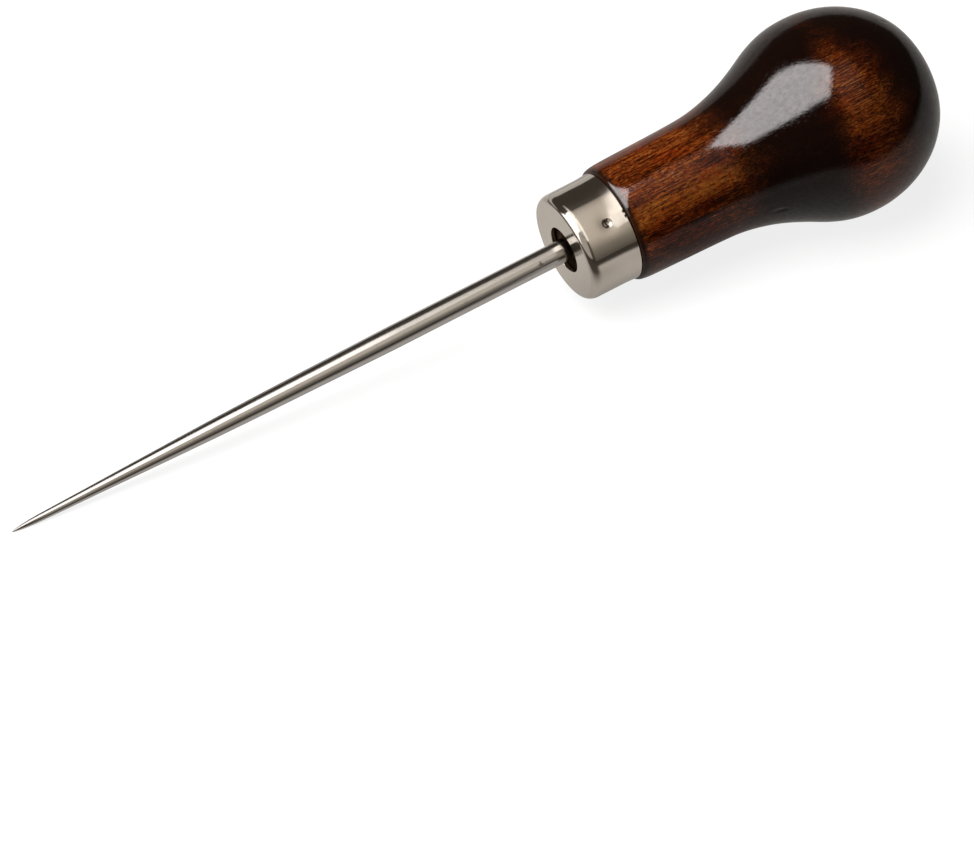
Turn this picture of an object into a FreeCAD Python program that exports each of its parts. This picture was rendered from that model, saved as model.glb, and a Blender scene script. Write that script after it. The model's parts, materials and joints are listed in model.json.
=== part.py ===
import FreeCAD, Part
import math
import os

# Scratch awl: a tapered round steel blade driven into a turned hardwood handle,
# with a plated steel cup ferrule over the handle's tenon.
#
# Lengths are millimetres, angles degrees. The tool is built along its own axis:
#   x  along the tool from the point towards the butt
#   r  distance from the axis
# A station is counted along x from the ferrule's flat front face.
# It is then tilted about Y to lie on the bench, z = 0, with the point near the
# origin and the axis rising towards the butt, which lies in +X.

# ---------------------------------------------------------------- blade sizes
FACE_X = 80.0            # point to the ferrule's front face
TIP_R = 0.10             # rounding of the point
TIP_FLAT_R = 0.03        # blunt flat at the very end
TIP_HALF_ANGLE = 9.0     # half angle of the short cone behind the point
SHANK_R = 1.50           # parallel shank, 3 mm wire
SHANK_FROM = 56.0        # x where the long taper meets the parallel shank
TAPER = [                # (x, r) of the long taper
    (1.28, 0.290), (2.05, 0.363), (3.07, 0.436), (5.12, 0.512), (7.68, 0.580),
    (10.24, 0.645), (12.80, 0.715), (15.35, 0.788), (20.50, 0.934), (25.60, 1.073),
    (30.70, 1.186), (35.80, 1.270), (40.90, 1.335), (46.10, 1.395), (51.20, 1.462),
]
TANG_FROM = 0.50         # station where the round shank starts to flatten
TANG_OVALS = [           # (station, half width along Y, half thickness)
    (6.0, 2.50, 0.90),   # swaged oval fully formed
    (14.0, 2.50, 0.90),  # oval starts to narrow
    (32.0, 1.00, 0.55),  # end of the tang
]

# ---------------------------------------------------------------- ferrule sizes
FERRULE_R = 7.20         # outside radius of the barrel
FERRULE_LEN = 7.10       # front face to open rim
FERRULE_WALL = 0.60
FERRULE_BORE_R = FERRULE_R - FERRULE_WALL
FOLD_R = 0.70            # outside fold between the face and the barrel
FOLD_IN_R = 0.20         # inside fold
HOLE_R = 3.10            # hole in the front face that the tang passes through
HOLE_ROLL_R = 0.10       # rolled-in edge of the punched hole
FLARE_FROM = 6.45        # station where the open rim starts to flare
FLARE_START_PULL = 0.25  # axial reach of the flare curve's handle at the barrel
FLARE_END_PULL = 0.12    # and at the lip
LIP_R = 7.30             # radius of the flared lip
LIP_ROUND = 0.12

# Two opposite locking punch marks. Turns run from the top towards -Y.
DIMPLE_AT = 4.35         # station of both marks
DIMPLE_TURN = 36.5
DIMPLE_TURNS = (DIMPLE_TURN, DIMPLE_TURN + 180.0)
DIMPLE_R = 0.62          # mouth radius
DIMPLE_DEPTH = 0.36
DIMPLE_NOSE_R = 0.16     # radius of the punch's blunt nose
PUNCH_CAP = 0.4          # height of the punch's straight part above the mouth
BUMP_ROOT = 0.2          # how far the inner bump is rooted in the wall
RECESS_CLEARANCE = 0.02  # room around the bump in the tenon

NICK_TURNS = (33.6, 38.6)  # two nicks in the open rim
NICK_R = 0.17            # radius of the nick's round end
NICK_DEPTH = 0.22        # how far a nick reaches in from the rim
NICK_SINK = 0.35         # nick's floor below the barrel's outside
NICK_CUTTER = 1.0        # length and height of the cutter

# ---------------------------------------------------------------- handle sizes
TENON_R = FERRULE_BORE_R
TENON_FROM = 0.90        # end of the tenon, just clear of the ferrule's end wall
TENON_CHAMFER = 0.30
SHOULDER_AT = 7.15       # shoulder next to the ferrule's open rim
SHOULDER_ROUND = 0.45
NECK_R = 7.82            # neck radius next to the shoulder
NECK_SLOPE = 0.03        # rise of r per x where the body leaves the shoulder
BODY = [                 # (station, r) of the turned body
    (8.86, 7.865), (11.82, 7.945), (15.76, 8.03), (19.70, 8.14), (21.67, 8.25),
    (23.64, 8.51), (25.61, 8.94), (27.58, 9.52), (29.55, 10.26), (31.52, 11.14),
    (33.49, 12.10), (35.46, 12.88), (37.43, 13.36), (39.40, 13.54), (41.37, 13.49),
    (43.34, 13.18), (45.31, 12.61), (47.28, 11.70), (49.25, 10.39), (50.72, 8.98),
    (51.81, 7.54), (52.96, 5.00), (53.64, 2.50),
]
BUTT_AT = 53.86          # crown of the butt on the axis
BUTT_FLAT_R = 0.25       # small sanded flat at the crown
PILOT_R = 1.30           # pilot bore drilled for the tang
PILOT_END = 36.0
PILOT_POINT = 0.75       # depth of the drill's cone at the bore's end
PILOT_POINT_R = 0.05     # blunt end of that cone
PILOT_OVERRUN = 1.0      # cutter's reach beyond the tenon's end

# ---------------------------------------------------------------- bench
MAX_TILT = 20.0          # upper bound of the search for the tilt
TILT_STEPS = 60          # halvings of the search
PROFILE_POINTS = 4000    # points of the body tried against the bench

Vector = FreeCAD.Vector
X_AXIS = Vector(1, 0, 0)
Z_AXIS = Vector(0, 0, 1)


# ---------------------------------------------------------------- helpers
def profile_point(x, r):
    return Vector(x, 0, r)


def lines(*points):
    """Straight edges joining (x, r) points in turn."""
    return [
        Part.LineSegment(profile_point(*start), profile_point(*end)).toShape()
        for start, end in zip(points, points[1:])
    ]


def on_circle(centre, radius, angle):
    """(x, r) on a circle, the angle running from +x towards +r."""
    turn = math.radians(angle)
    return (centre[0] + radius * math.cos(turn), centre[1] + radius * math.sin(turn))


def arc(centre, radius, start, end):
    """Arc edge between two angles of on_circle."""
    angles = (start, 0.5 * (start + end), end)
    return Part.Arc(*[profile_point(*on_circle(centre, radius, a)) for a in angles]).toShape()


def spline(points, start_tangent, end_tangent):
    curve = Part.BSplineCurve()
    curve.interpolate(
        Points=[profile_point(*point) for point in points],
        InitialTangent=profile_point(*start_tangent),
        FinalTangent=profile_point(*end_tangent),
    )
    return curve


def turned(edges):
    """A solid of revolution about the tool's axis from a closed chain of edges."""
    wire = Part.Wire(Part.__sortEdges__(edges))
    return Part.Face(wire).revolve(Vector(0, 0, 0), X_AXIS, 360)


def rod(radius, x_from, x_to):
    return Part.makeCylinder(radius, x_to - x_from, Vector(x_from, 0, 0), X_AXIS)


def radial(turn, x):
    """Placement that puts +Z along the radius at this turn, on the axis at x."""
    return FreeCAD.Placement(Vector(x, 0, 0), FreeCAD.Rotation(X_AXIS, turn))


def punch(surface_r, clearance=0.0):
    """The blunt cone of the punch, its mouth on the given radius along +Z."""
    mouth_r = DIMPLE_R + clearance
    depth = DIMPLE_DEPTH + clearance
    cone = Part.makeCone(
        DIMPLE_NOSE_R, mouth_r, depth, Vector(0, 0, surface_r - depth), Z_AXIS
    )
    cap = Part.makeCylinder(mouth_r, PUNCH_CAP, Vector(0, 0, surface_r), Z_AXIS)
    return cone.fuse(cap).removeSplitter()


def placed_punch(turn, surface_r, clearance=0.0):
    tool = punch(surface_r, clearance)
    tool.Placement = radial(turn, FACE_X + DIMPLE_AT)
    return tool


# ---------------------------------------------------------------- blade
def round_section(x, radius):
    """Circle across the axis, started at +Y like the ovals so the loft does not twist."""
    circle = Part.Circle(Vector(x, 0, 0), X_AXIS, radius)
    start = circle.value(0)
    start_turn = math.degrees(math.atan2(start.z, start.y))
    circle.rotate(FreeCAD.Placement(Vector(0, 0, 0), X_AXIS, -start_turn))
    return Part.Wire(circle.toShape())


def oval_section(x, half_width, half_thick):
    """Ellipse across the axis, wide along Y."""
    ellipse = Part.Ellipse(
        Vector(x, half_width, 0), Vector(x, 0, half_thick), Vector(x, 0, 0)
    )
    return Part.Wire(ellipse.toShape())


def make_blade():
    tip_centre = (TIP_R, 0)
    flat_angle = 180 - math.degrees(math.asin(TIP_FLAT_R / TIP_R))
    cone_angle = 90 + TIP_HALF_ANGLE
    tip_start = on_circle(tip_centre, TIP_R, flat_angle)
    tip_end = on_circle(tip_centre, TIP_R, cone_angle)
    half_angle = math.radians(TIP_HALF_ANGLE)
    shank_start = (SHANK_FROM, SHANK_R)
    taper = spline(
        [tip_end] + TAPER + [shank_start],
        start_tangent=(math.cos(half_angle), math.sin(half_angle)),
        end_tangent=(1, 0),
    )
    tang_x = FACE_X + TANG_FROM
    tip_base = (tip_start[0], 0)
    round_part = turned(
        [
            *lines(tip_base, tip_start),
            arc(tip_centre, TIP_R, flat_angle, cone_angle),
            taper.toShape(),
            *lines(shank_start, (tang_x, SHANK_R), (tang_x, 0), tip_base),
        ]
    )
    sections = [round_section(tang_x, SHANK_R)]
    for station, half_width, half_thick in TANG_OVALS:
        sections.append(oval_section(FACE_X + station, half_width, half_thick))
    tang = Part.makeLoft(sections, True, True)  # solid, ruled
    return round_part.fuse(tang).removeSplitter()


# ---------------------------------------------------------------- ferrule
def make_cup():
    """The plain cup, before the punch marks and nicks."""
    wall_x = FACE_X + FERRULE_WALL
    rim_x = FACE_X + FERRULE_LEN
    flare_x = FACE_X + FLARE_FROM
    fold_centre = (FACE_X + FOLD_R, FERRULE_R - FOLD_R)
    fold_in_centre = (wall_x + FOLD_IN_R, FERRULE_BORE_R - FOLD_IN_R)
    roll_centre = (FACE_X + HOLE_ROLL_R, HOLE_R + HOLE_ROLL_R)
    lip_centre = (rim_x - LIP_ROUND, LIP_R - LIP_ROUND)
    flare = Part.BezierCurve()
    flare.setPoles(
        [
            profile_point(flare_x, FERRULE_R),
            profile_point(flare_x + FLARE_START_PULL, FERRULE_R),
            profile_point(lip_centre[0] - FLARE_END_PULL, LIP_R),
            profile_point(lip_centre[0], LIP_R),
        ]
    )
    return turned(
        [
            *lines((roll_centre[0], HOLE_R), (wall_x, HOLE_R), (wall_x, fold_in_centre[1])),
            arc(fold_in_centre, FOLD_IN_R, 180, 90),
            *lines(
                (fold_in_centre[0], FERRULE_BORE_R),
                (rim_x, FERRULE_BORE_R),
                (rim_x, lip_centre[1]),
            ),
            arc(lip_centre, LIP_ROUND, 0, 90),
            flare.toShape(),
            *lines((flare_x, FERRULE_R), (fold_centre[0], FERRULE_R)),
            arc(fold_centre, FOLD_R, 90, 180),
            *lines((FACE_X, fold_centre[1]), (FACE_X, roll_centre[1])),
            arc(roll_centre, HOLE_ROLL_R, 180, 270),
        ]
    )


def make_nick(turn):
    """Cutter for one nick: a round end, open towards the rim."""
    end_station = FERRULE_LEN - NICK_DEPTH + NICK_R
    floor_r = FERRULE_R - NICK_SINK
    round_end = Part.makeCylinder(
        NICK_R, NICK_CUTTER, Vector(end_station, 0, floor_r), Z_AXIS
    )
    slot = Part.makeBox(
        NICK_CUTTER, 2 * NICK_R, NICK_CUTTER, Vector(end_station, -NICK_R, floor_r)
    )
    nick = round_end.fuse(slot)
    nick.Placement = radial(turn, FACE_X)
    return nick


def make_ferrule():
    ferrule = make_cup()
    # A punch mark pushes the wall inwards: a blunt cone is taken out of the
    # outside and the same cone stands proud inside.
    bump_limit = rod(FERRULE_BORE_R + BUMP_ROOT, FACE_X, FACE_X + FERRULE_LEN)
    for turn in DIMPLE_TURNS:
        bump = placed_punch(turn, FERRULE_BORE_R).common(bump_limit)
        ferrule = ferrule.fuse(bump).cut(placed_punch(turn, FERRULE_R))
    for turn in NICK_TURNS:
        ferrule = ferrule.cut(make_nick(turn))
    return ferrule.removeSplitter()


# ---------------------------------------------------------------- handle
SHOULDER_CENTRE = (FACE_X + SHOULDER_AT + SHOULDER_ROUND, NECK_R - SHOULDER_ROUND)


def make_body_curve():
    """Outline of the body from the neck to the flat of the butt."""
    return spline(
        [(SHOULDER_CENTRE[0], NECK_R)]
        + [(FACE_X + station, r) for station, r in BODY]
        + [(FACE_X + BUTT_AT, BUTT_FLAT_R)],
        start_tangent=(1, NECK_SLOPE),
        end_tangent=(0, -1),
    )


def make_handle(body_curve, blade):
    tenon_x = FACE_X + TENON_FROM
    shoulder_x = FACE_X + SHOULDER_AT
    butt_x = FACE_X + BUTT_AT
    handle = turned(
        [
            *lines(
                (tenon_x, 0),
                (tenon_x, TENON_R - TENON_CHAMFER),
                (tenon_x + TENON_CHAMFER, TENON_R),
                (shoulder_x, TENON_R),
                (shoulder_x, SHOULDER_CENTRE[1]),
            ),
            arc(SHOULDER_CENTRE, SHOULDER_ROUND, 180, 90),
            body_curve.toShape(),
            *lines((butt_x, BUTT_FLAT_R), (butt_x, 0), (tenon_x, 0)),
        ]
    )
    pilot_x = FACE_X + PILOT_END
    pilot = rod(PILOT_R, tenon_x - PILOT_OVERRUN, pilot_x).fuse(
        Part.makeCone(PILOT_R, PILOT_POINT_R, PILOT_POINT, Vector(pilot_x, 0, 0), X_AXIS)
    )
    # The tenon is hollowed where the ferrule's two bumps press into it.
    first, second = [
        placed_punch(turn, FERRULE_BORE_R, RECESS_CLEARANCE) for turn in DIMPLE_TURNS
    ]
    handle = handle.cut(blade).cut(pilot).cut(first.fuse(second))
    # Only the main body counts if the cuts leave a loose piece.
    return max(handle.Solids, key=lambda solid: solid.Volume).removeSplitter()


# ---------------------------------------------------------------- resting on the bench
def bench_placement(body_curve):
    """Tilt at which the point's rounding and the body's fullest part both touch z = 0."""
    profile = body_curve.discretize(PROFILE_POINTS)

    def lowest(tilt):
        sine, cosine = math.sin(tilt), math.cos(tilt)
        return min(TIP_R + (p.x - TIP_R) * sine - p.z * cosine for p in profile)

    low, high = 0.0, math.radians(MAX_TILT)
    for _ in range(TILT_STEPS):
        middle = 0.5 * (low + high)
        if lowest(middle) < 0:
            low = middle
        else:
            high = middle
    rotation = FreeCAD.Rotation(Vector(0, 1, 0), -math.degrees(0.5 * (low + high)))
    # The origin is the spot on the bench under the centre of the point's rounding.
    base = Vector(0, 0, TIP_R) - rotation.multVec(Vector(TIP_R, 0, 0))
    return FreeCAD.Placement(base, rotation)


# ---------------------------------------------------------------- build and export
body_curve = make_body_curve()
blade = make_blade()
parts = {
    "blade": blade,
    "ferrule": make_ferrule(),
    "handle": make_handle(body_curve, blade),
}
lay = bench_placement(body_curve)
os.makedirs("parts", exist_ok=True)
for name, shape in parts.items():
    assert len(shape.Solids) == 1 and shape.isValid() and shape.isClosed(), name
    solid = shape.Solids[0].copy()
    solid.Placement = lay.multiply(solid.Placement)
    solid.exportStep("parts/" + name + ".step")
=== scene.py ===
"""A round, pointed steel blade in a turned wooden handle with a plated ferrule.

The tool lies along the row frame's X, point towards -X and butt towards +X. Pieces are
modelled in millimetres in the tool's own frame: z runs along the axis from the ferrule's front
face towards the butt, y is the row frame's Y, and the third direction points to the top.
Turns go round the axis from the top towards -Y. The stage is in metres, in the row frame.
"""

import json
import math

import bpy
import numpy as np
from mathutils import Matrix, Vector


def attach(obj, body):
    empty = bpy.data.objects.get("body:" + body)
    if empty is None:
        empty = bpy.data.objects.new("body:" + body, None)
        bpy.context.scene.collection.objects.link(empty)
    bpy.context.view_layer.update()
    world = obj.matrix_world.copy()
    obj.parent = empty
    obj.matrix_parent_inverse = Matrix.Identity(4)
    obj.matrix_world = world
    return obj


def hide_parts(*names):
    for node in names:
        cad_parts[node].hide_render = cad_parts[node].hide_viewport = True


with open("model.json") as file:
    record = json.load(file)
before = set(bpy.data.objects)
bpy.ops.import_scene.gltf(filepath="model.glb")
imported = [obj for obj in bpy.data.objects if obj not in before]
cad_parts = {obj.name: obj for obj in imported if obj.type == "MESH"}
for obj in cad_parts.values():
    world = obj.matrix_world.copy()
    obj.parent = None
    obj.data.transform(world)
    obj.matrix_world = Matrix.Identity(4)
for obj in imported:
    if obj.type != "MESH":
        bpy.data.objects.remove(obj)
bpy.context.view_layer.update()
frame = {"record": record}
mounts = {mount["name"]: mount for mount in frame["record"]["mounts"]}

MM = 0.001
TAU = 2.0 * math.pi

# The tool's frame, from the ferrule's mount
MOUNT_Z = 3.575  # the mount's station
AXIS = -Vector(mounts["ferrule_barrel"]["axis"]).normalized()
TOPWARD = Vector((-AXIS.z, 0.0, AXIS.x))
FACE = Vector(mounts["ferrule_barrel"]["pos_m"]) - AXIS * (MOUNT_Z * MM)

# Ferrule
BARREL_R = 7.20
WALL = 0.60
BORE_R = BARREL_R - WALL
FOLD = 0.80  # how far in from the barrel the fold starts on the face
DRAWN = 1.30  # how far back along the barrel the fold's easy curve ends
HOLE_R = 3.10
HOLE_ROUND = 0.10
INNER_ROUND = 0.20  # inside corner between face and bore
FERRULE_END = 7.10
LIP_R = 7.30
LIP_ROUND = 0.12
BORE_ROUND = 0.04
# Bezier controls of the flare: station, radius
FLARE = np.array([(4.95, BARREL_R), (5.50, BARREL_R), (6.30, 7.233),
                  (FERRULE_END - LIP_ROUND, LIP_R)])
# Two opposite punch marks, with crushed recesses in the tenon under them
PUNCH_Z = 4.40
PUNCH_TURN = math.radians(36.5)
PUNCH_TURNS = (PUNCH_TURN, PUNCH_TURN + math.pi)
MARK_R = 7.0  # radius at which distances over the barrel are measured
NICK_TURNS = (33.6, 38.8)  # degrees

# Handle
HANDLE_COLUMNS = 320
TENON_R = BORE_R
TENON_Z = 0.90
TENON_CHAMFER = 0.30
SHOULDER_Z = 7.15
PILOT_R = 1.30  # round hole that the tang's slot widens
# Outlines: station, radius
SHOULDER = [
    (SHOULDER_Z, 7.26), (7.20, 7.46), (7.38, 7.63), (7.70, 7.735), (8.10, 7.800),
    (8.50, 7.842), (8.86, 7.866),
]
BODY = [
    SHOULDER[-1], (11.82, 7.945), (15.76, 8.03), (19.70, 8.14), (21.67, 8.25),
    (23.64, 8.51), (25.61, 8.94), (27.58, 9.52), (29.55, 10.26), (31.52, 11.14),
    (33.49, 12.10), (35.46, 12.88), (37.43, 13.36), (39.40, 13.54), (41.37, 13.49),
    (43.34, 13.18), (45.31, 12.61), (47.28, 11.70), (49.25, 10.39), (50.72, 8.98),
    (51.81, 7.54), (52.96, 5.00), (53.64, 2.50), (53.86, 0.25),
]
NECK_SLOPE = (1, 0.045)  # direction where shoulder and body meet
VIEW_TURN = math.radians(39.87)  # the turn that faces the camera
# Dents: station, degrees above the camera-facing line, half length, half width, depth
DENTS = [
    (26.6, -61.0, 0.85, 0.32, 0.100),
    (28.9, -48.0, 0.40, 0.22, 0.035),
    (36.8, 55.5, 0.30, 0.25, 0.050),
    (49.6, 45.5, 0.45, 0.28, 0.075),
    (50.1, 49.0, 0.30, 0.20, 0.040),
    (40.6, 7.0, 0.22, 0.12, 0.020),
    (36.6, 1.5, 0.30, 0.12, 0.020),
    (29.6, -4.0, 0.22, 0.14, 0.018),
    (47.5, -49.0, 0.50, 0.16, 0.030),
    (30.5, -46.5, 0.28, 0.20, 0.025),
]
# Ranges of the same columns for the random dents
RANDOM_DENTS = 16
DENT_RANGES = ((10, 50), (95, 270), (0.2, 0.6), (0.12, 0.3), (0.015, 0.06))

# Blade
BLADE_COLUMNS = 96
BLADE_LENGTH = 80.0  # tip to ferrule face
TIP_R = 0.10
TIP_SLOPE = math.radians(9.0)
SHANK_R = 1.50
SHANK_START = 56.0  # from the tip
# Taper: distance from the tip, radius
TAPER = [
    (TIP_R - TIP_R * math.sin(TIP_SLOPE), TIP_R * math.cos(TIP_SLOPE)), (1.28, 0.290),
    (2.05, 0.363), (3.07, 0.436), (5.12, 0.512), (7.68, 0.580), (10.24, 0.645),
    (12.80, 0.715), (15.35, 0.788), (20.50, 0.934), (25.60, 1.073), (30.70, 1.186),
    (35.80, 1.270), (40.90, 1.335), (46.10, 1.395), (51.20, 1.462), (SHANK_START, SHANK_R),
]
# Elliptical tang sections: station, half width along y, half thickness towards the top
TANG = np.array(
    [(0.50, 1.50, 1.50), (6.0, 2.50, 0.90), (14.0, 2.50, 0.90), (32.0, 1.00, 0.55)]
)
TANG_END = TANG[-1, 0]


# ---------------------------------------------------------------------------
# Outlines: lists of (station, radius)
# ---------------------------------------------------------------------------
def smooth(x, start, end):
    """Rises from 0 at start to 1 at end."""
    part = np.clip((np.asarray(x, float) - start) / (end - start), 0.0, 1.0)
    return part * part * (3 - 2 * part)


def spline_bends(at, value, start_slope, end_slope):
    """Second derivatives of a clamped cubic spline."""
    count = len(at)
    matrix, right = np.zeros((count, count)), np.zeros(count)
    step = np.diff(at)
    slope = np.diff(value) / step
    matrix[0, :2] = 2 * step[0], step[0]
    matrix[-1, -2:] = step[-1], 2 * step[-1]
    right[0] = 6 * (slope[0] - start_slope)
    right[-1] = 6 * (end_slope - slope[-1])
    for i in range(1, count - 1):
        matrix[i, i - 1:i + 2] = step[i - 1], 2 * (step[i - 1] + step[i]), step[i]
        right[i] = 6 * (slope[i] - slope[i - 1])
    return np.linalg.solve(matrix, right)


def spline(at, value, start_slope, end_slope, x):
    bends = spline_bends(at, value, start_slope, end_slope)
    i = np.clip(np.searchsorted(at, x) - 1, 0, len(at) - 2)
    step = at[i + 1] - at[i]
    before, after = (at[i + 1] - x) / step, (x - at[i]) / step
    bend = (before**3 - before) * bends[i] + (after**3 - after) * bends[i + 1]
    return before * value[i] + after * value[i + 1] + bend * step * step / 6


def curve(points, start, end, count):
    """Evenly spaced points of a smooth curve through points, with end directions."""
    points = np.array(points, float)
    at = np.r_[0, np.cumsum(np.hypot(*np.diff(points, axis=0).T))]
    start = np.array(start, float) / np.hypot(*start)
    end = np.array(end, float) / np.hypot(*end)
    fine = np.linspace(0, at[-1], 4000)
    z, r = (spline(at, points[:, k], start[k], end[k], fine) for k in (0, 1))
    length = np.r_[0, np.cumsum(np.hypot(np.diff(z), np.diff(r)))]
    even = np.linspace(0, length[-1], count)
    return np.c_[np.interp(even, length, z), np.interp(even, length, r)]


def arc(centre_z, centre_r, radius, start, end, count):
    """Points of an arc between two angles in degrees."""
    angle = np.radians(np.linspace(start, end, count))
    return np.c_[centre_z + radius * np.cos(angle), centre_r + radius * np.sin(angle)]


def line(start, end, count):
    return np.linspace(start, end, count)


def chain(*parts):
    """Joins point lists, dropping repeats."""
    joined = []
    for part in parts:
        for point in part:
            if not joined or np.hypot(*(point - joined[-1])) > 1e-6:
                joined.append(point)
    return np.array(joined)


# ---------------------------------------------------------------------------
# Turned surfaces: arrays of rings by columns
# ---------------------------------------------------------------------------
def spread(values, columns):
    """Repeats one value per ring over the columns."""
    return np.repeat(np.reshape(values, (-1, 1)), columns, 1)


def turn_from(turn, centre):
    """Signed turn from centre, within half a circle."""
    return (turn - centre + math.pi) % TAU - math.pi


def surface_distance(z, turn, centre_z, centre_turn, radius):
    return np.sqrt((z - centre_z) ** 2 + (turn_from(turn, centre_turn) * radius) ** 2)


def waves(z, turn, seed, count, height, length, lobes):
    """Repeatable unevenness: a sum of waves along z and round the turn."""
    rng = np.random.default_rng(seed)
    total = np.zeros(np.broadcast(z, turn).shape)
    for _ in range(count):
        along = rng.normal(0, 1.0) / length * TAU
        around = int(round(rng.normal(0, 1.0) * lobes))
        phase = rng.uniform(0, TAU)
        total += np.sin(along * z + around * turn + phase) * rng.uniform(0.5, 1.0)
    return total * height / math.sqrt(count)


def tang_r(z, turn):
    """The tang's radius at each station and turn."""
    half_width = np.interp(z, TANG[:, 0], TANG[:, 1])[:, None]
    half_thick = np.interp(z, TANG[:, 0], TANG[:, 2])[:, None]
    return 1.0 / np.sqrt((np.sin(turn) / half_width) ** 2 + (np.cos(turn) / half_thick) ** 2)


def per_vertex(grid, looped):
    """One entry per vertex; the end rings of an open chain become one vertex each."""
    if looped:
        return grid.reshape(-1, *grid.shape[2:])
    inner = grid[1:-1].reshape(-1, *grid.shape[2:])
    return np.concatenate([grid[:1].mean(1), inner, grid[-1:].mean(1)])


def ring_faces(shape, looped):
    if looped:
        grid = np.arange(shape[0] * shape[1]).reshape(shape)
        rings, following = grid, np.roll(grid, -1, 0)
        caps = []
    else:
        grid = 1 + np.arange((shape[0] - 2) * shape[1]).reshape(-1, shape[1])
        rings, following = grid[:-1], grid[1:]
        beside = np.roll(grid, -1, 1)
        first = np.zeros_like(grid[0])
        last = first + grid.size + 1
        caps = np.stack([first, beside[0], grid[0], last, grid[-1], beside[-1]], -1)
        caps = caps.reshape(-1, 3).tolist()
    quads = np.stack([rings, np.roll(rings, -1, 1), np.roll(following, -1, 1), following], -1)
    return caps + quads.reshape(-1, 4).tolist()


def lathe(name, z, r, turn, looped, **attributes):
    """A closed mesh from rings, with its local points and other grids as attributes.

    Looped rings join last to first; otherwise the first and last rings lie on the axis.
    """
    loc = per_vertex(np.stack([z, -r * np.sin(turn), r * np.cos(turn)], -1), looped)
    directions = np.array([AXIS[:], (0.0, 1.0, 0.0), TOPWARD[:]])
    points = np.array(FACE) + (loc @ directions) * MM
    mesh = bpy.data.meshes.new(name)
    mesh.from_pydata(points.tolist(), [], ring_faces(r.shape, looped))
    mesh.validate()
    # The sign of the enclosed volume says which way the faces wind
    mesh.calc_loop_triangles()
    corners = np.empty(len(mesh.loop_triangles) * 3, np.int32)
    mesh.loop_triangles.foreach_get("vertices", corners)
    tri = points[corners.reshape(-1, 3)] - points.mean(0)
    if np.einsum("ij,ij->i", tri[:, 0], np.cross(tri[:, 1], tri[:, 2])).sum() < 0:
        mesh.flip_normals()
    mesh.update()

    layer = mesh.attributes.new("loc", "FLOAT_VECTOR", "POINT")
    layer.data.foreach_set("vector", np.ascontiguousarray(loc, np.float32).ravel())
    for key, grid in attributes.items():
        values = per_vertex(np.broadcast_to(grid, r.shape), looped)
        layer = mesh.attributes.new(key, "FLOAT", "POINT")
        layer.data.foreach_set("value", np.ascontiguousarray(values, np.float32))
    mesh.shade_smooth()
    obj = bpy.data.objects.new(name, mesh)
    bpy.context.scene.collection.objects.link(obj)
    return obj


# ---------------------------------------------------------------------------
# Handle
# ---------------------------------------------------------------------------
def dent_depth(z, r, turn):
    """Small knocks with a slightly raised rim."""
    rng = np.random.default_rng(4)
    dents = list(DENTS)
    for _ in range(RANDOM_DENTS):
        dents.append([rng.uniform(low, high) for low, high in DENT_RANGES])
    depths = np.zeros_like(r)
    for dent_z, above, half_length, half_width, depth in dents:
        away = turn_from(turn, VIEW_TURN - math.radians(above))
        reach = ((z - dent_z) / half_length) ** 2
        reach += (away * np.maximum(r, 0.5) / half_width) ** 2
        rim = 0.22 * np.exp(-((np.sqrt(reach) - 1.9) ** 2) / 0.35)
        depths += depth * (np.exp(-reach) - rim)
    return depths


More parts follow.
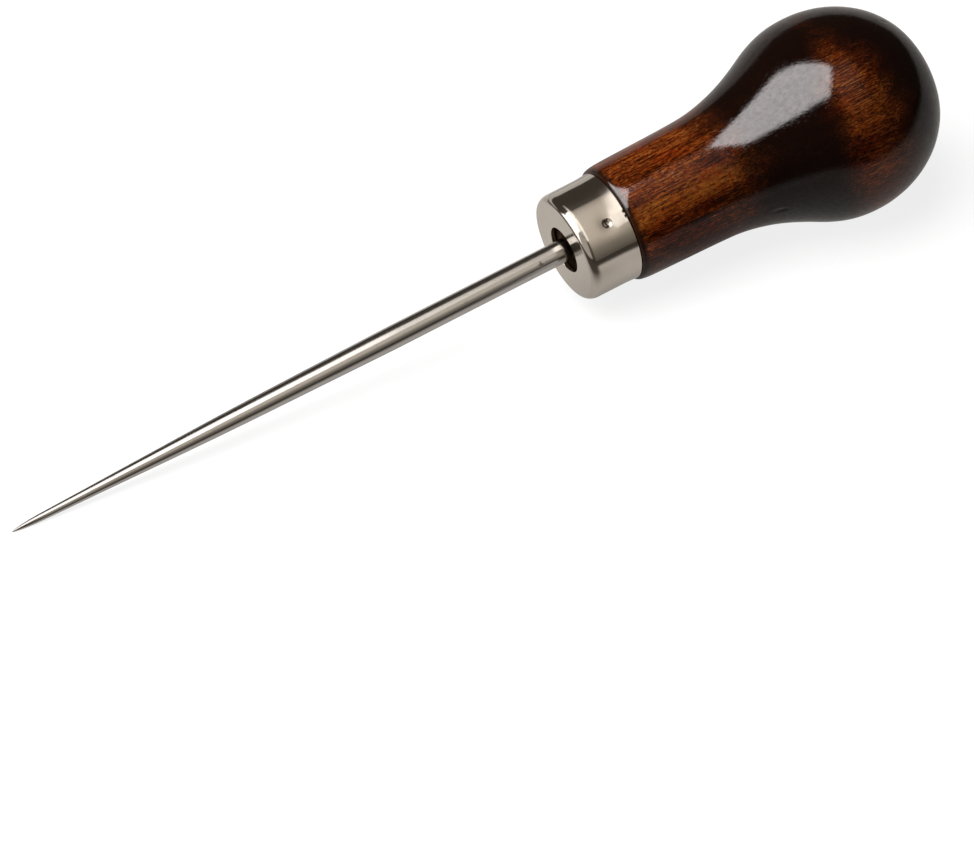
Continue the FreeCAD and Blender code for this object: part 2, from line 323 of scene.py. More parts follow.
def make_handle():
    turn = np.linspace(0, TAU, HANDLE_COLUMNS, endpoint=False)
    shoulder = curve(SHOULDER, start=(0, 1), end=NECK_SLOPE, count=26)
    body = np.vstack([shoulder[:-1], curve(BODY, start=NECK_SLOPE, end=(0, -1), count=212)])
    chamfer_z, chamfer_r = TENON_Z + TENON_CHAMFER, TENON_R - TENON_CHAMFER
    outer = chain(
        line((TENON_Z, 2.6), (TENON_Z, chamfer_r), 7),
        line((TENON_Z, chamfer_r), (chamfer_z, TENON_R), 3),
        line((chamfer_z, TENON_R), (3.60, TENON_R), 5),
        line((3.70, TENON_R), (5.10, TENON_R), 15),  # finer at the recesses
        line((5.30, TENON_R), (SHOULDER_Z, TENON_R), 5),
        line((SHOULDER_Z, TENON_R), SHOULDER[0], 5),
        body,
    )
    # The cavity, from its closed end to the tenon's front
    cavity_z = np.r_[np.linspace(35.6, 32.2, 4), TANG_END, np.linspace(30, 14.5, 9), 14.0,
                     np.linspace(12, 6.5, 5), 6.0, np.linspace(5, 1.3, 6), TENON_Z]
    cavity_r = np.maximum(tang_r(np.minimum(cavity_z, TANG_END), turn), PILOT_R)
    cavity_r[cavity_z > TANG_END] = PILOT_R
    z = spread(np.r_[36.75, 36.0, cavity_z, outer[:, 0], BODY[-1][0]], HANDLE_COLUMNS)
    axis_ring = np.zeros((1, HANDLE_COLUMNS))
    r = np.vstack([axis_ring, axis_ring + PILOT_R, cavity_r,
                   spread(outer[:, 1], HANDLE_COLUMNS), axis_ring])

    def ring_values(values, last):
        """Outer outline values, with 0 in the cavity and last at the butt's centre."""
        return np.r_[np.zeros(2 + len(cavity_z)), values, last][:, None]

    step_z, step_r = np.gradient(outer[:, 0]), np.gradient(outer[:, 1])
    step = np.maximum(np.hypot(step_z, step_r), 1e-9)
    normal_z = ring_values(-step_r / step, 1.0)
    normal_r = ring_values(step_z / step, 0.0)
    on_body = ring_values(np.arange(len(outer)) >= len(outer) - len(body), 1.0)
    shown = (outer[:, 0] >= 7.149) & ((outer[:, 1] > 7.0) | (outer[:, 0] > 20.0))
    on_tenon = ring_values(np.abs(outer[:, 1] - TENON_R) < 1e-6, 0.0)

    # Hand-sanded unevenness, soft turning rings and knocks, faded out at both ends
    fade = on_body * smooth(z, 8.2, 9.2) * (1 - smooth(z, 52.0, 53.5))
    bumps = waves(z, turn, seed=11, count=22, height=0.0060, length=9.0, lobes=3.0)
    bumps += waves(z, turn, seed=12, count=16, height=0.0015, length=3.2, lobes=9.0)
    rings = 0.0020 * np.sin(TAU * z / 2.7 + 0.6 * np.sin(2 * turn)) * smooth(z, 22, 30)
    pits = dent_depth(z, r, turn)
    shift = (bumps + rings - pits) * fade
    for punch_turn in PUNCH_TURNS:
        away = surface_distance(z, turn, PUNCH_Z, punch_turn, TENON_R)
        r = r - 0.34 * (1 - smooth(away, 0.12, 0.62)) * on_tenon
    return lathe("handle_wood", z + shift * normal_z, r + shift * normal_r, turn,
                 looped=False, outside=ring_values(shown, 1.0), pit=pits * fade)


# ---------------------------------------------------------------------------
# Ferrule
# ---------------------------------------------------------------------------
def ferrule_outline():
    """Closed section: hole edge, face, fold, barrel, flare, lip, then back along the bore."""
    part = np.linspace(0, 1, 36)
    rest = 1 - part
    weights = np.c_[rest**3, 3 * rest**2 * part, 3 * rest * part**2, part**3]
    barrel_z = np.r_[np.linspace(DRAWN, 3.0, 14), np.arange(3.07, 4.90, 0.07)]
    bend = np.radians(np.linspace(180, 90, 26))
    fold_r = BARREL_R - FOLD
    hole_edge = HOLE_R + HOLE_ROUND
    lip_z, lip_r = FERRULE_END - LIP_ROUND, LIP_R - LIP_ROUND
    bore_z, bore_r = FERRULE_END - BORE_ROUND, BORE_R + BORE_ROUND
    inner_z, inner_r = WALL + INNER_ROUND, BORE_R - INNER_ROUND
    return chain(
        arc(HOLE_ROUND, hole_edge, HOLE_ROUND, 180, 270, 6)[::-1],
        line((0, hole_edge), (0, fold_r), 22),
        np.c_[DRAWN * (1 + np.cos(bend)), fold_r + FOLD * np.sin(bend)],
        np.c_[barrel_z, np.full(len(barrel_z), BARREL_R)],
        weights @ FLARE,
        arc(lip_z, lip_r, LIP_ROUND, 90, 0, 7),
        line((FERRULE_END, lip_r), (FERRULE_END, bore_r), 4),
        arc(bore_z, bore_r, BORE_ROUND, 0, -90, 3),
        line((bore_z, BORE_R), (5.5, BORE_R), 8),
        line((5.4, BORE_R), (3.3, BORE_R), 22),
        line((3.2, BORE_R), (inner_z, BORE_R), 8),
        arc(inner_z, inner_r, INNER_ROUND, 90, 180, 6),
        line((WALL, inner_r), (WALL, HOLE_R), 10),
        line((WALL, HOLE_R), (HOLE_ROUND, HOLE_R), 4),
    )[:-1]  # the last point repeats the first


def make_ferrule():
    # Columns are finer across the punch marks
    near = np.radians(np.arange(-9.5, 9.51, 0.5))
    gap = np.radians(np.linspace(9.5, 170.5, 108)[1:-1])
    turn = np.sort(np.concatenate([near, gap, near + math.pi, gap + math.pi])) + PUNCH_TURN
    outline = ferrule_outline()
    ring_z, ring_r = outline[:, :1], outline[:, 1:]
    z, r = spread(ring_z, len(turn)), spread(ring_r, len(turn))
    on_barrel = (ring_r > BARREL_R - 0.01) & (ring_z > DRAWN - 0.01)
    on_bore = (np.abs(ring_r - BORE_R) < 0.001) & (ring_z < 5.6) & (ring_z > 3.0)
    on_face = ((ring_z < 0.001) & (ring_r > 3.4) & (ring_r < 6.3)).astype(float)

    mark, bulge = np.zeros_like(r), np.zeros_like(r)
    for punch_turn in PUNCH_TURNS:
        # Outside: a blunt cone, and the shallow dish drawn in around it
        away = surface_distance(z, turn, PUNCH_Z, punch_turn, MARK_R)
        mark += 0.27 * (1 - smooth(away, 0.10, 0.70))
        away = surface_distance(z, turn, PUNCH_Z + 0.10, punch_turn, MARK_R)
        mark += 0.115 * np.exp(-((away / 1.15) ** 2))
        # In the bore: a narrower nose, clear of the tenon's recess
        away = surface_distance(z, turn, PUNCH_Z, punch_turn, BORE_R)
        bulge += 0.30 * (1 - smooth(away, 0.08, 0.52))
    mark = mark * on_barrel
    r = r - mark - bulge * on_bore

    # Slight unevenness of thin metal, and a face raised slightly inwards round the hole
    soft = smooth(ring_z, 0.9, 1.6) * (1 - smooth(ring_z, 5.4, 6.3)) * (ring_r > 7)
    r = r + soft * waves(z, turn, seed=21, count=18, height=0.0016, length=5.0, lobes=3.0)
    uneven = waves(r, turn, seed=23, count=10, height=0.0012, length=3.0, lobes=2.0)
    z = z + (0.010 * np.exp(-(((r - 3.3) / 0.9) ** 2)) + uneven) * on_face
    lip = smooth(ring_z, 6.80, 7.00) * (ring_r > 6.9)
    for nick in NICK_TURNS:
        away = turn_from(turn, math.radians(nick)) * 7.25
        r = r - 0.16 * np.exp(-((away / 0.13) ** 2)) * lip
    return lathe("ferrule_shell", z, r, turn, looped=True, face=on_face, mark=mark)


# ---------------------------------------------------------------------------
# Blade
# ---------------------------------------------------------------------------
def make_blade():
    turn = np.linspace(0, TAU, BLADE_COLUMNS, endpoint=False)
    slope = (math.cos(TIP_SLOPE), math.sin(TIP_SLOPE))
    profile = chain(
        arc(TIP_R, 0.0, TIP_R, 162.5, 99, 7),
        curve(TAPER, start=slope, end=(1, 0), count=190),
        line((SHANK_START, SHANK_R), (BLADE_LENGTH + 0.50, SHANK_R), 74),
    )
    profile_z = profile[:, 0] - BLADE_LENGTH
    tang_z = np.r_[np.linspace(0.9, 6, 10), np.linspace(7, 14, 5), np.linspace(16, 32, 9)]
    z = spread(np.r_[profile_z[0], profile_z, tang_z, TANG_END], BLADE_COLUMNS)
    axis_ring = np.zeros((1, BLADE_COLUMNS))
    r = np.vstack([axis_ring, spread(profile[:, 1], BLADE_COLUMNS),
                   tang_r(tang_z, turn), axis_ring])
    fade = smooth(z, -74, -60) * (1 - smooth(z, -4.0, -1.0))
    uneven = waves(z, turn, seed=31, count=14, height=0.0012, length=14.0, lobes=1.6)
    return lathe("blade_steel", z, r * (1 + uneven * fade), turn, looped=False)


# ---------------------------------------------------------------------------
# Shader building
# ---------------------------------------------------------------------------
class Value:
    """A node's output. Arithmetic and the methods below add nodes that use it."""

    def __init__(self, shader, socket):
        self.shader, self.socket = shader, socket

    def math(self, operation, *others, clamp=False):
        return self.shader.math(operation, self, *others, clamp=clamp)

    def __add__(self, other):
        return self.math("ADD", other)

    def __radd__(self, other):
        return self.shader.math("ADD", other, self)

    def __sub__(self, other):
        return self.math("SUBTRACT", other)

    def __rsub__(self, other):
        return self.shader.math("SUBTRACT", other, self)

    def __mul__(self, other):
        return self.math("MULTIPLY", other)

    def times_plus(self, factor, offset, clamp=False):
        return self.math("MULTIPLY_ADD", factor, offset, clamp=clamp)

    def step(self, start, end):
        """Rises smoothly from 0 at start to 1 at end."""
        inputs = {"Value": self, "From Min": start, "From Max": end}
        return self.shader.put("MapRange", inputs, interpolation_type="SMOOTHSTEP")

    def drop(self, start, end):
        return 1.0 - self.step(start, end)

    def band(self, start, full, waning, end):
        return self.step(start, full) * self.drop(waning, end)

    def range(self, start, end, low, high):
        """Linear: low at start, high at end."""
        return self.shader.put("MapRange", {"Value": self, "From Min": start,
                                            "From Max": end, "To Min": low, "To Max": high})

    def split(self):
        node = self.shader.put("SeparateXYZ", {0: self}).socket.node
        return [Value(self.shader, socket) for socket in node.outputs]

    def noise(self, stretch=None, shift=(0, 0, 0), scale=1.0, detail=4.0, roughness=0.55,
              distortion=0.0):
        """Noise over this vector; stretch holds frequencies along z, y and the top."""
        vector = self
        if stretch:
            mapping = {"Vector": self, "Scale": stretch, "Location": shift}
            vector = self.shader.put("Mapping", mapping)
        return self.shader.put("TexNoise", {
            "Vector": vector, "Scale": scale, "Detail": detail, "Roughness": roughness,
            "Distortion": distortion})

    def between(self, low, high):
        """From the low colour to the high one, by this value."""
        return self.shader.mix(self, low, high, "MIX")

    def blend(self, colour, factor):
        return self.shader.mix(factor, self, colour, "MIX")

    def tint(self, colour, factor):
        """Multiplied by colour, by factor."""
        return self.shader.mix(factor, self, colour, "MULTIPLY")

    def ramp(self, stops):
        ramp = self.shader.put("ValToRGB", {0: self})
        elements = ramp.socket.node.color_ramp.elements
        while len(elements) > 1:
            elements.remove(elements[-1])
        elements[0].position, elements[0].color = stops[0][0], (*stops[0][1], 1)
        for position, colour in stops[1:]:
            elements.new(position).color = (*colour, 1)
        return ramp

    def bump(self, strength=1.0):
        """A normal from this height in millimetres."""
        return self.shader.put("Bump", {"Height": self, "Strength": strength, "Distance": MM})


class Shader:
    """The node tree of a material or world."""

    def __init__(self, owner, output="OutputMaterial"):
        self.owner = owner
        owner.use_nodes = True
        self.tree = owner.node_tree
        self.tree.nodes.clear()
        self.output = self.tree.nodes.new("ShaderNode" + output)

    def connect(self, socket, value):
        """Links a Value, or sets a plain one; colours are given as RGB."""
        if isinstance(value, Value):
            self.tree.links.new(value.socket, socket)
        elif socket.type == "RGBA":
            socket.default_value = (*value, 1.0)
        else:
            socket.default_value = value

    def put(self, kind, inputs=None, output=0, **settings):
        node = self.tree.nodes.new("ShaderNode" + kind)
        for key, value in settings.items():
            setattr(node, key, value)
        for key, value in (inputs or {}).items():
            self.connect(node.inputs[key], value)
        return Value(self, node.outputs[output])

    def math(self, operation, first, second=0.0, third=None, clamp=False):
        inputs = {0: first, 1: second}
        if third is not None:
            inputs[2] = third
        return self.put("Math", inputs, operation=operation, use_clamp=clamp)

    def mix(self, factor, first, second, mode):
        return self.put("Mix", {0: factor, 6: first, 7: second}, output=2,
                        data_type="RGBA", blend_type=mode, clamp_factor=True)

    def attribute(self, name, output="Fac"):
        return self.put("Attribute", output=output, attribute_name=name)

    def finish(self, surface):
        self.connect(self.output.inputs[0], surface)
        return self.owner


def new_shader(name):
    return Shader(bpy.data.materials.new(name))


# ---------------------------------------------------------------------------
# Materials
# ---------------------------------------------------------------------------
# Wood colours from dark to pale: tone, colour
WOOD_TONES = [
    (0.00, (0.00499, 0.00127, 0.00048)),
    (0.24, (0.01559, 0.00304, 0.00053)),
    (0.44, (0.03896, 0.00625, 0.00082)),
    (0.62, (0.06078, 0.01127, 0.00121)),
    (0.80, (0.07792, 0.02071, 0.00286)),
    (1.00, (0.09661, 0.03655, 0.00808)),
]
# Stain soaked in: station, amount
SOAK_SPAN = 60.0
SOAK = [
    (0.0, 0.05), (14.0, 0.05), (16.5, 0.16), (20.0, 0.31), (22.5, 0.46), (24.6, 0.68),
    (27.0, 0.90), (30.0, 1.0), (33.5, 0.95), (36.0, 0.62), (38.0, 0.24), (40.0, 0.14),
    (42.5, 0.38), (44.5, 0.58), (46.5, 0.82), (49.0, 1.0), (50.6, 0.92), (52.2, 0.56),
    (SOAK_SPAN, 0.50),
]
# Growth layers: the pith line's distance from the axis along -y and downwards, and spacing
PITH_Y, PITH_DOWN, LAYER = 31.0, 19.0, 1.55


def wood():
    shader = new_shader("walnut_stained_gloss")
    loc = shader.attribute("loc", "Vector")
    outside = shader.attribute("outside")
    pit = shader.attribute("pit")
    z, y, top = loc.split()

    # Growth layers: distance from the pith line, gently wandering
    wander = loc.noise((0.045, 0.10, 0.10), detail=3.0, roughness=0.5)
    ripple = loc.noise((0.16, 0.45, 0.45), shift=(3, 7, 1), detail=3.0)
    across = y + PITH_Y
    upward = top + PITH_DOWN
    distance = (across * across + upward * upward).math("SQRT")
    distance = distance + z * 0.035 + wander * 7.0 + ripple * 1.3
    layers = (distance * (TAU / LAYER)).math("SINE").times_plus(0.5, 0.5).math("POWER", 1.6)

    # Fibres and open pores, long along the blank
    fibre = loc.noise((0.13, 5.4, 5.4), roughness=0.66, distortion=0.10)
    hair = loc.noise((0.45, 8.0, 8.0), shift=(5, 2, 9), detail=2.0, roughness=0.6)
    pores = loc.noise((0.10, 7.0, 7.0), shift=(1, 4, 2), detail=2.0)
    ray = loc.noise((1.9, 5.5, 1.6), shift=(8, 1, 3), detail=2.0, roughness=0.5)
    mottle = loc.noise((1.15, 3.0, 3.0), shift=(3, 8, 2), roughness=0.7)
    fleck = loc.noise((2.3, 5.2, 5.2), shift=(6, 1, 7), detail=3.0, roughness=0.6) - 0.5
    figure = loc.noise((0.10, 0.30, 0.30), shift=(12, 3, 5), detail=3.0, roughness=0.6)
    bulb = z.step(24.0, 33.0)

    # Round the blank, in radians: a golden band and a dark one beside it
    turn = (y * -1.0).math("ARCTAN2", top) + (ripple - 0.5) * 0.30
    gold = turn.band(0.58, 0.76, 0.90, 1.06) * (1.0 - z.step(20.0, 30.0) * 0.7)
    dark = turn.band(0.98, 1.14, 1.5, 2.1) * z.drop(26.0, 34.0)

    # Each pattern's weight in the tone, and the offset that centres it
    tone = fibre * 2.30 + layers * 0.10 + hair * 1.00 + figure * 0.60
    tone = tone + (mottle - 0.5) * 1.60 + fleck * 1.10 - ray * 0.06
    tone = tone + gold * 0.13 - dark * 0.20 - 1.475
    colour = tone.ramp(WOOD_TONES)
    glint = (fleck + (mottle - 0.5)).times_plus(1.5, 0.28, clamp=True)
    colour = colour.blend((0.09662, 0.03208, 0.00396), gold * glint)
    # Dark pores, a little weaker on the bulb
    pore = pores.step(0.560, 0.60) * bulb.times_plus(-0.14, 0.50)
    colour = colour.blend((0.00911, 0.00190, 0.00055), pore)
    # A paler band low on the -Y side
    colour = colour.tint((2.2, 2.1, 2.0), turn.band(1.20, 1.50, 2.4, 2.9))
    # Redder, darker and more golden patches, and a crown at the butt painted paler, standing
    # in for light that the lamps don't send there
    hue = loc.noise((0.16, 0.26, 0.26), shift=(4, 2, 11), detail=3.0, roughness=0.6)
    colour = colour.tint((0.92, 0.68, 0.55), hue.step(0.50, 0.62))
    shade = loc.noise((0.30, 0.42, 0.42), shift=(9, 9, 3), roughness=0.65)
    colour = colour.tint((0.58, 0.55, 0.55), shade.step(0.40, 0.66))
    colour = colour.tint((1.22, 1.36, 1.50), hue.step(0.50, 0.36) * fleck.step(-0.10, 0.12))
    colour = colour.tint((2.3, 2.1, 1.9), z.step(50.4, 52.2))

    # Sloping surfaces cut across the fibres and drink more stain. The bulb is darker round its
    # top, its +Y side and its bottom. Less soak at the crown paints it paler, standing in for
    # light that the lamps don't send there
    blot = loc.noise((0.13, 0.20, 0.20), shift=(2, 9, 4), roughness=0.6)
    far_side = turn.drop(-0.10, 0.50) + turn.step(2.0, 2.8)
    soaked = (z * (1.0 / SOAK_SPAN)).ramp([(at / SOAK_SPAN, (soak,) * 3) for at, soak in SOAK])
    soaked = soaked + (blot - 0.5) * 0.85 + (fibre - 0.5) * 0.60 + (mottle - 0.5) * 0.50
    soaked = soaked - fleck * 0.45 + far_side * bulb * 0.55
    colour = colour.tint((0.40, 0.34, 0.32), bulb * 0.36)
    colour = colour.blend((0.0015, 0.0006, 0.0004), soaked.step(0.06, 0.92) * 0.982)
    # Darker at the shoulder beside the ferrule and in the dents; bare wood kept dull inside
    colour = colour.blend((0.0040, 0.0018, 0.0010), z.drop(7.45, 8.2) * 0.88)
    colour = colour.blend((0.0022, 0.0013, 0.0009), pit.step(0.010, 0.050))
    inside = colour.blend((0.034, 0.022, 0.014), 0.6)
    colour = inside.blend(colour, outside)

    # Varnish: fine orange peel, grain showing through as short dips; heights in millimetres
    peel = loc.noise((1.0, 1.0, 1.0), scale=2.2, detail=3.0, roughness=0.5)
    speck = loc.noise(scale=6.5, detail=2.0, roughness=0.6)
    telegraph = loc.noise((0.8, 4.5, 4.5), shift=(4, 4, 4), roughness=0.62)
    film = peel * 0.009 + telegraph * 0.009 + speck * 0.0030
    film = film - pores.step(0.60, 0.68) * 0.0016
    dull = loc.noise((0.3, 0.6, 0.6), shift=(7, 7, 7), roughness=0.6)
    clear = loc.noise((1.3, 2.0, 2.0), shift=(5, 6, 1), detail=6.0, roughness=0.78)
    return shader.finish(shader.put("BsdfPrincipled", {
        "Base Color": colour,
        "Roughness": fibre.range(0.3, 0.7, low=0.52, high=0.40),
        "Specular IOR Level": 0.0,
        "Normal": (fibre * 0.020 + hair * 0.010).bump(strength=0.8),
        "Coat Weight": outside * clear.range(0.34, 0.66, low=0.66, high=0.98),
        "Coat Roughness": dull.range(0.3, 0.8, low=0.015, high=0.060),
        "Coat IOR": 1.37,
        "Coat Normal": film.bump(),
    }))


def finish_metal(shader, colour, roughness, anisotropic, height):
    """Metal with its highlights drawn out relative to the tool's axis."""
    return shader.finish(shader.put("BsdfPrincipled", {
        "Base Color": colour,
        "Metallic": 1.0,
        "Roughness": roughness,
        "Anisotropic": anisotropic,
        "Tangent": shader.put("CombineXYZ", dict(enumerate(AXIS))),
        "Normal": height.bump(),
    }))


def nickel():
    shader = new_shader("nickel_plated_steel")
    loc = shader.attribute("loc", "Vector")
    mark = shader.attribute("mark")
    z, y, top = loc.split()
    radius = (y * y + top * top).math("SQRT")
    # Polishing lines run round the axis: fine along z on the barrel, along r on the face
    ring_vector = shader.put("CombineXYZ", {0: z * 9.0, 1: radius * 9.0, 2: y * 0.22})
    lines = ring_vector.noise(detail=5.0, roughness=0.7)
    haze = loc.noise((0.35, 0.35, 0.35), shift=(3, 1, 4), roughness=0.6)
    spots = loc.noise((2.2, 2.2, 2.2), shift=(9, 5, 1), detail=2.0, roughness=0.5)
    tarnish = spots.step(0.70, 0.80)
    colour = haze.between((0.700, 0.648, 0.578), (0.775, 0.730, 0.662))
    colour = colour.blend((0.36, 0.30, 0.24), tarnish * 0.45)
    # Darker inside the shell
    within = radius.math("LESS_THAN", 6.9) * z.math("GREATER_THAN", 0.55)
    colour = colour.blend((0.16, 0.13, 0.11), within * 0.7)
    # Roughness of the face and of the barrel, joined by radius; smoother in the marks
    flat = lines.range(0.3, 0.75, low=0.105, high=0.165) + haze * 0.03
    drawn = lines.range(0.3, 0.75, low=0.110, high=0.155) + haze * 0.02
    barrel = radius.step(6.55, 6.95)
    rough = flat * (1.0 - barrel) + drawn * barrel
    rough = rough + tarnish * 0.12 - mark.step(0.02, 0.2) * 0.05
    return finish_metal(shader, colour, rough, anisotropic=barrel * 0.82,
                        height=lines * 0.0009 + haze * 0.0060)


def steel():
    shader = new_shader("ground_polished_steel")
    loc = shader.attribute("loc", "Vector")
    z = loc.split()[0]
    # Lines along the blade, lines round it, soft clouds, and stains mostly at its root
    drawn = loc.noise((0.10, 7.0, 7.0), detail=5.0, roughness=0.7)
    ground = loc.noise((9.0, 0.5, 0.5), shift=(2, 2, 2), roughness=0.7)
    cloud = loc.noise((0.22, 0.5, 0.5), shift=(6, 3, 1), roughness=0.6)
    spots = loc.noise((0.9, 1.6, 1.6), shift=(1, 8, 3), detail=3.0, roughness=0.6)
    stain = spots.step(0.60, 0.72) * z.step(-9.0, -1.0).times_plus(0.8, 0.12)
    colour = cloud.between((0.650, 0.638, 0.618), (0.745, 0.730, 0.705))
    colour = colour.blend((0.20, 0.155, 0.115), stain)
    colour = colour.blend((0.22, 0.17, 0.13), z.step(-1.4, 0.2) * 0.6)
    rough = drawn.range(0.3, 0.75, low=0.11, high=0.19)
    rough = rough + stain * 0.16 + ground.step(0.55, 0.75) * 0.04
    return finish_metal(shader, colour, rough, anisotropic=0.45,
                        height=drawn * 0.0010 + ground * 0.0007 + cloud * 0.0030)


handle = make_handle()
ferrule = make_ferrule()
blade = make_blade()
for obj, material, node, slot in (
    (handle, wood(), "handle", "handle_wood"),
    (ferrule, nickel(), "ferrule", "ferrule_plate"),
    (blade, steel(), "blade", "blade_steel"),
):
    obj.data.materials.append(material)
    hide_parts(node)
    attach(obj, "root")

# ---------------------------------------------------------------------------
# Stage: a pale floor, overhead panels, side panels, cards and a back card. Several lamps
# light only some pieces, so that each material's highlights can be shaped on their own.
# ---------------------------------------------------------------------------
HEIGHT = 0.60  # of the softbox above the bulb
LAYER_GAP = 0.012  # between lamps that overlap
BULB = FACE + AXIS * (36.0 * MM)
FLOOR_X = 0.067
FLOOR_R = 2.6

# Camera directions
AZIMUTH = math.radians(-31.22)
ELEVATION = math.radians(44.0)
TO_CAMERA = Vector((math.sin(AZIMUTH) * math.cos(ELEVATION),
                    -math.cos(AZIMUTH) * math.cos(ELEVATION), math.sin(ELEVATION)))

PANEL_COLOUR = (1.0, 0.960, 0.950)
# Panel outlines: x and y from the bulb, in softbox heights
SOFTBOX_OUTLINE = [(0.084, 0.036), (0.086, 0.098), (-0.80, 1.02), (-1.30, 0.90),
                   (-1.30, -0.45), (-0.27, -0.44)]
METAL_OUTLINE = [(0.080, -0.46), (0.075, 0.28), (-0.14, 1.02), (-1.30, 1.08), (-1.30, -0.46)]
# The ferrule's own panels: name, strength, outline
RIM_PANELS = [
    ("stage_rim_right", 1.08, [
        (0.080, -0.46), (0.075, 0.28), (-0.14, 1.02), (-0.17, 1.02), (-0.17, -0.02),
        (-0.35, -0.17), (-0.60, -0.46)]),
    ("stage_rim_left", 1.80, [
        (-0.17, -0.02), (-0.17, 0.50), (-0.60, 0.55), (-0.97, 0.67), (-1.30, 0.80),
        (-1.30, -0.46), (-0.60, -0.46), (-0.35, -0.17)]),
    ("stage_rim_near", 0.90, [
        (0.080, -0.46), (-0.22, -0.46), (-0.22, -1.12), (0.080, -1.12)]),
    ("stage_rim_corner", 0.44, [
        (-0.22, -0.46), (-0.70, -0.46), (-0.60, -0.60), (-0.40, -0.74), (-0.22, -0.81)]),
]
# Side panels' plane and ends
SIDE_X = BULB.x - 1.30 * HEIGHT
SIDE_Y = (BULB.y - 0.45 * HEIGHT, BULB.y + 0.90 * HEIGHT)
SIDE_BOTTOM = 0.14

# Warm arc cards about the tool's axis
ARC_R = 0.80
ARC_STRENGTH = 0.55
# Across an arc card: metres along the axis from the ferrule's face, share of the brightness
ARC_ACROSS = ((0.02, 0.0), (0.10, 1.0), (0.32, 1.0), (0.54, 0.0))
# Round an arc card: degrees from the camera's side over the top, brightness
METAL_LEVELS = [
    (-56, 0.08), (-48, 0.14), (-40, 0.24), (-30, 0.36), (-20, 0.66), (-10, 0.98), (0, 1.03),
    (14, 0.98), (30, 0.92), (46, 0.86), (54, 0.72), (64, 0.46),
]
VARNISH_LEVELS = [
    (-30, 0.0), (-16, 0.08), (0, 0.34), (14, 0.90), (22, 1.20), (36, 1.20), (46, 0.35),
    (54, 0.0),
]


def stage_mesh(name, verts, faces, material, camera=False):
    mesh = bpy.data.meshes.new(name)
    mesh.from_pydata(verts, [], faces)
    mesh.materials.append(material)
    mesh.update()
    obj = bpy.data.objects.new(name, mesh)
    bpy.context.scene.collection.objects.link(obj)
    obj.visible_camera = camera
    return obj


def lamp(name, verts, faces, colour, strength, falloff=None, see_through=True):
    """A glowing mesh. falloff names an attribute that scales its strength."""
    shader = new_shader(name)
    if falloff:
        strength = shader.attribute(falloff) * strength
    light = shader.put("Emission", {"Color": colour, "Strength": strength})
    if see_through:  # lets other lamps' light pass
        light = shader.put("AddShader", {0: light, 1: shader.put("BsdfTransparent")})
    return stage_mesh(name, verts, faces, shader.finish(light))


def light_only(obj, pieces):
    group = bpy.data.collections.new(obj.name + "_receivers")
    for piece in pieces:
        group.objects.link(piece)
    obj.light_linking.receiver_collection = group


def panel(name, outline, height, strength):
    """A level panel above the bulb."""
    verts = [(BULB.x + x * HEIGHT, BULB.y + y * HEIGHT, BULB.z + height) for x, y in outline]
    return lamp(name, verts, [tuple(range(len(verts)))], PANEL_COLOUR, strength)


def side_panel(name, x, strength):
    """An upright panel on the -X side."""
    start, end = SIDE_Y
    verts = [(x, start, SIDE_BOTTOM), (x, end, SIDE_BOTTOM), (x, end, HEIGHT),
             (x, start, HEIGHT)]
    return lamp(name, verts, [(0, 1, 2, 3)], (1.0, 0.965, 0.950), strength)


def arc_card(name, levels, pieces):
    facing = (TO_CAMERA - AXIS * TO_CAMERA.dot(AXIS)).normalized()
    over = TO_CAMERA.cross(AXIS).normalized()
    angles = np.linspace(levels[0][0], levels[-1][0], 61)
    verts, fall = [], []
    for angle in angles:
        radians = math.radians(angle)
        outward = facing * math.cos(radians) + over * math.sin(radians)
        for along, share in ARC_ACROSS:
            verts.append(tuple(FACE + outward * ARC_R + AXIS * along))
            fall.append(float(np.interp(angle, *zip(*levels))) * share)
    faces = [(4 * i + k, 4 * i + k + 1, 4 * i + k + 5, 4 * i + k + 4)
             for i in range(len(angles) - 1) for k in range(3)]
    obj = lamp(name, verts, faces, (1.0, 0.90, 0.78), ARC_STRENGTH, falloff="fall")
    layer = obj.data.attributes.new("fall", "FLOAT", "POINT")
    layer.data.foreach_set("value", np.array(fall, np.float32))
    light_only(obj, pieces)


def low_card():
    """A dim arc card, low round the tool's -X and -Y sides, for the ferrule."""
    verts = []
    for degrees in (-166, -154, -142, -130, -118, -106):
        x, y = math.cos(math.radians(degrees)), math.sin(math.radians(degrees))
        for radius, z in ((0.85, 0.06), (0.55, 0.66)):
            verts.append((FACE.x + radius * x, FACE.y + radius * y, z))
    faces = [(2 * i, 2 * i + 2, 2 * i + 3, 2 * i + 1) for i in range(5)]
    card = lamp("stage_low", verts, faces, (1.0, 0.92, 0.83), strength=0.38)
    light_only(card, (ferrule,))


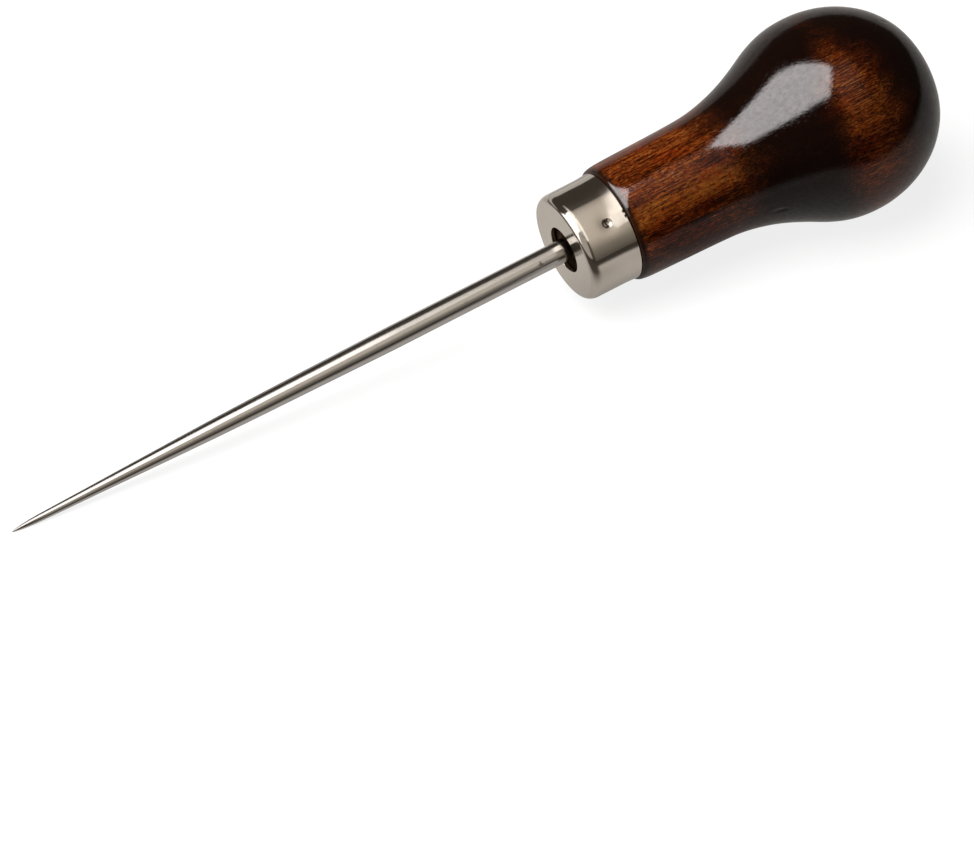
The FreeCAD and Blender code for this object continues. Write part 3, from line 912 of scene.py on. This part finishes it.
def floor_material():
    """Near white to the camera; to everything else, a dim glowing floor with darker and
    brighter patches, among them a painted shadow under the neck.
    """
    shader = new_shader("stage_floor")
    x, y, _ = shader.put("NewGeometry", output="Position").split()
    from_centre = x - FLOOR_X
    far = (from_centre * from_centre + y * y).math("SQRT").step(0.12, 0.60)
    seen = shader.put("BsdfDiffuse", {"Color": (0.080, 0.081, 0.081)})
    lift = shader.put("Emission", {"Color": (1, 1, 1), "Strength": 0.838 + far * 0.5})
    seen = shader.put("AddShader", {0: seen, 1: lift})

    # Beside the blade the -Y side stays dark right up to its foot
    beside = x.drop(0.078, 0.096)
    foot = y.math("DIVIDE", x.math("MAXIMUM", 0.0) + 0.004)
    pale = beside * foot.step(-0.36, -0.07) + (1.0 - beside) * y.step(-0.078, -0.040)
    # Dimmer on the +Y side near the tip, and a little dimmer all along the blade
    behind = x.drop(0.046, 0.058) * y.step(0.0, 0.003)
    pale = pale * (1.0 - behind * 0.85)
    pale = pale * (1.0 - beside * 0.22)
    # A painted pool of light by the ferrule, and less glow under the neck, a painted shadow of
    # the handle
    lit = x.band(0.058, 0.065, 0.086, 0.094) * y.band(-0.004, 0.002, 0.030, 0.044)
    pale = pale * (1.0 + lit * 0.24)
    neck_shadow = x.step(0.091, 0.098) * (1.0 - x.step(0.101, 0.111) * 1.0)
    neck_shadow = neck_shadow * y.step(-0.055, -0.020)
    albedo = pale.between((0.016, 0.014, 0.012), (0.065, 0.062, 0.059))
    unseen = shader.put("AddShader", {
        0: shader.put("BsdfDiffuse", {"Color": albedo}),
        1: shader.put("Emission", {"Color": (1.0, 0.955, 0.905),
                                   "Strength": pale * 0.34 * (1.0 - neck_shadow * 0.45)}),
    })
    to_camera = shader.put("LightPath", output="Is Camera Ray")
    return shader.finish(shader.put("MixShader", {0: to_camera, 1: unseen, 2: seen}))


def make_floor(count=96):
    """A disc, set just below the row frame's ground."""
    verts = [(FLOOR_X, 0, 0)] + [
        (FLOOR_X + FLOOR_R * math.cos(TAU * i / count), FLOOR_R * math.sin(TAU * i / count), 0)
        for i in range(count)
    ]
    faces = [(0, 1 + i, 1 + (i + 1) % count) for i in range(count)]
    obj = stage_mesh("stage_floor", verts, faces, floor_material(), camera=True)
    obj.location.z = -0.00006
    return obj


softbox = panel("stage_softbox", SOFTBOX_OUTLINE, HEIGHT, strength=16.6)
# The metal sees wider and much dimmer panels, so that its highlights keep their shape
metal_panel = panel("stage_metal_panel", METAL_OUTLINE, HEIGHT + LAYER_GAP, strength=1.45)
rim_panels = [panel(name, outline, HEIGHT + 2 * LAYER_GAP, strength)
              for name, strength, outline in RIM_PANELS]
side = side_panel("stage_side", SIDE_X, strength=5.0)
metal_side = side_panel("stage_metal_side", SIDE_X - LAYER_GAP, strength=1.9)
arc_card("stage_card", METAL_LEVELS, (ferrule, blade))
arc_card("stage_flagged", VARNISH_LEVELS, (handle,))
low_card()
# A pale card beyond the tool on the +Y side, lower towards +X
lamp("stage_back",
     [(-1.4, 1.5, 0.0), (2.4, 1.5, 0.0), (2.4, 1.5, 0.09), (0.85, 1.5, 0.135),
      (0.50, 1.5, 0.225), (-1.4, 1.5, 0.27)],
     [(0, 1, 2, 3, 4, 5)], (1.0, 0.97, 0.93), strength=0.50, see_through=False)
floor = make_floor()
light_only(softbox, (handle, floor))
light_only(side, (handle, floor))
light_only(metal_panel, (blade,))
light_only(metal_side, (ferrule, blade))
for rim_panel in rim_panels:
    light_only(rim_panel, (ferrule,))

# World: white to the camera, dim and warm to everything else
world = bpy.data.worlds.new("stage_world")
bpy.context.scene.world = world
sky = Shader(world, "OutputWorld")
sky.finish(sky.put("MixShader", {
    0: sky.put("LightPath", output="Is Camera Ray"),
    1: sky.put("Background", {0: (0.050, 0.042, 0.034)}),
    2: sky.put("Background", {0: (1, 1, 1)}),
}))

# ---------------------------------------------------------------------------
# Camera
# ---------------------------------------------------------------------------
CAMERA_DISTANCE = 1.0
CAMERA_LEFT, CAMERA_DOWN = 9.66038, 21.43396  # millimetres off the ferrule's face
right = Vector((math.cos(AZIMUTH), math.sin(AZIMUTH), 0))
camera_up = TO_CAMERA.cross(right)
camera_data = bpy.data.cameras.new("camera")
camera = bpy.data.objects.new("camera", camera_data)
bpy.context.scene.collection.objects.link(camera)
camera_data.sensor_width = 36.0
camera_data.lens = 293.83984
camera_data.clip_start = 0.05
camera_data.clip_end = 12.0
camera.location = (FACE + TO_CAMERA * CAMERA_DISTANCE - right * (CAMERA_LEFT * MM)
                   - camera_up * (CAMERA_DOWN * MM))
camera.rotation_mode = "QUATERNION"
camera.rotation_quaternion = (-TO_CAMERA).to_track_quat("-Z", "Y")
bpy.context.scene.camera = camera

view = bpy.context.scene.view_settings
view.view_transform = "Standard"
view.look = "None"
view.exposure = 0.0
view.gamma = 1.0
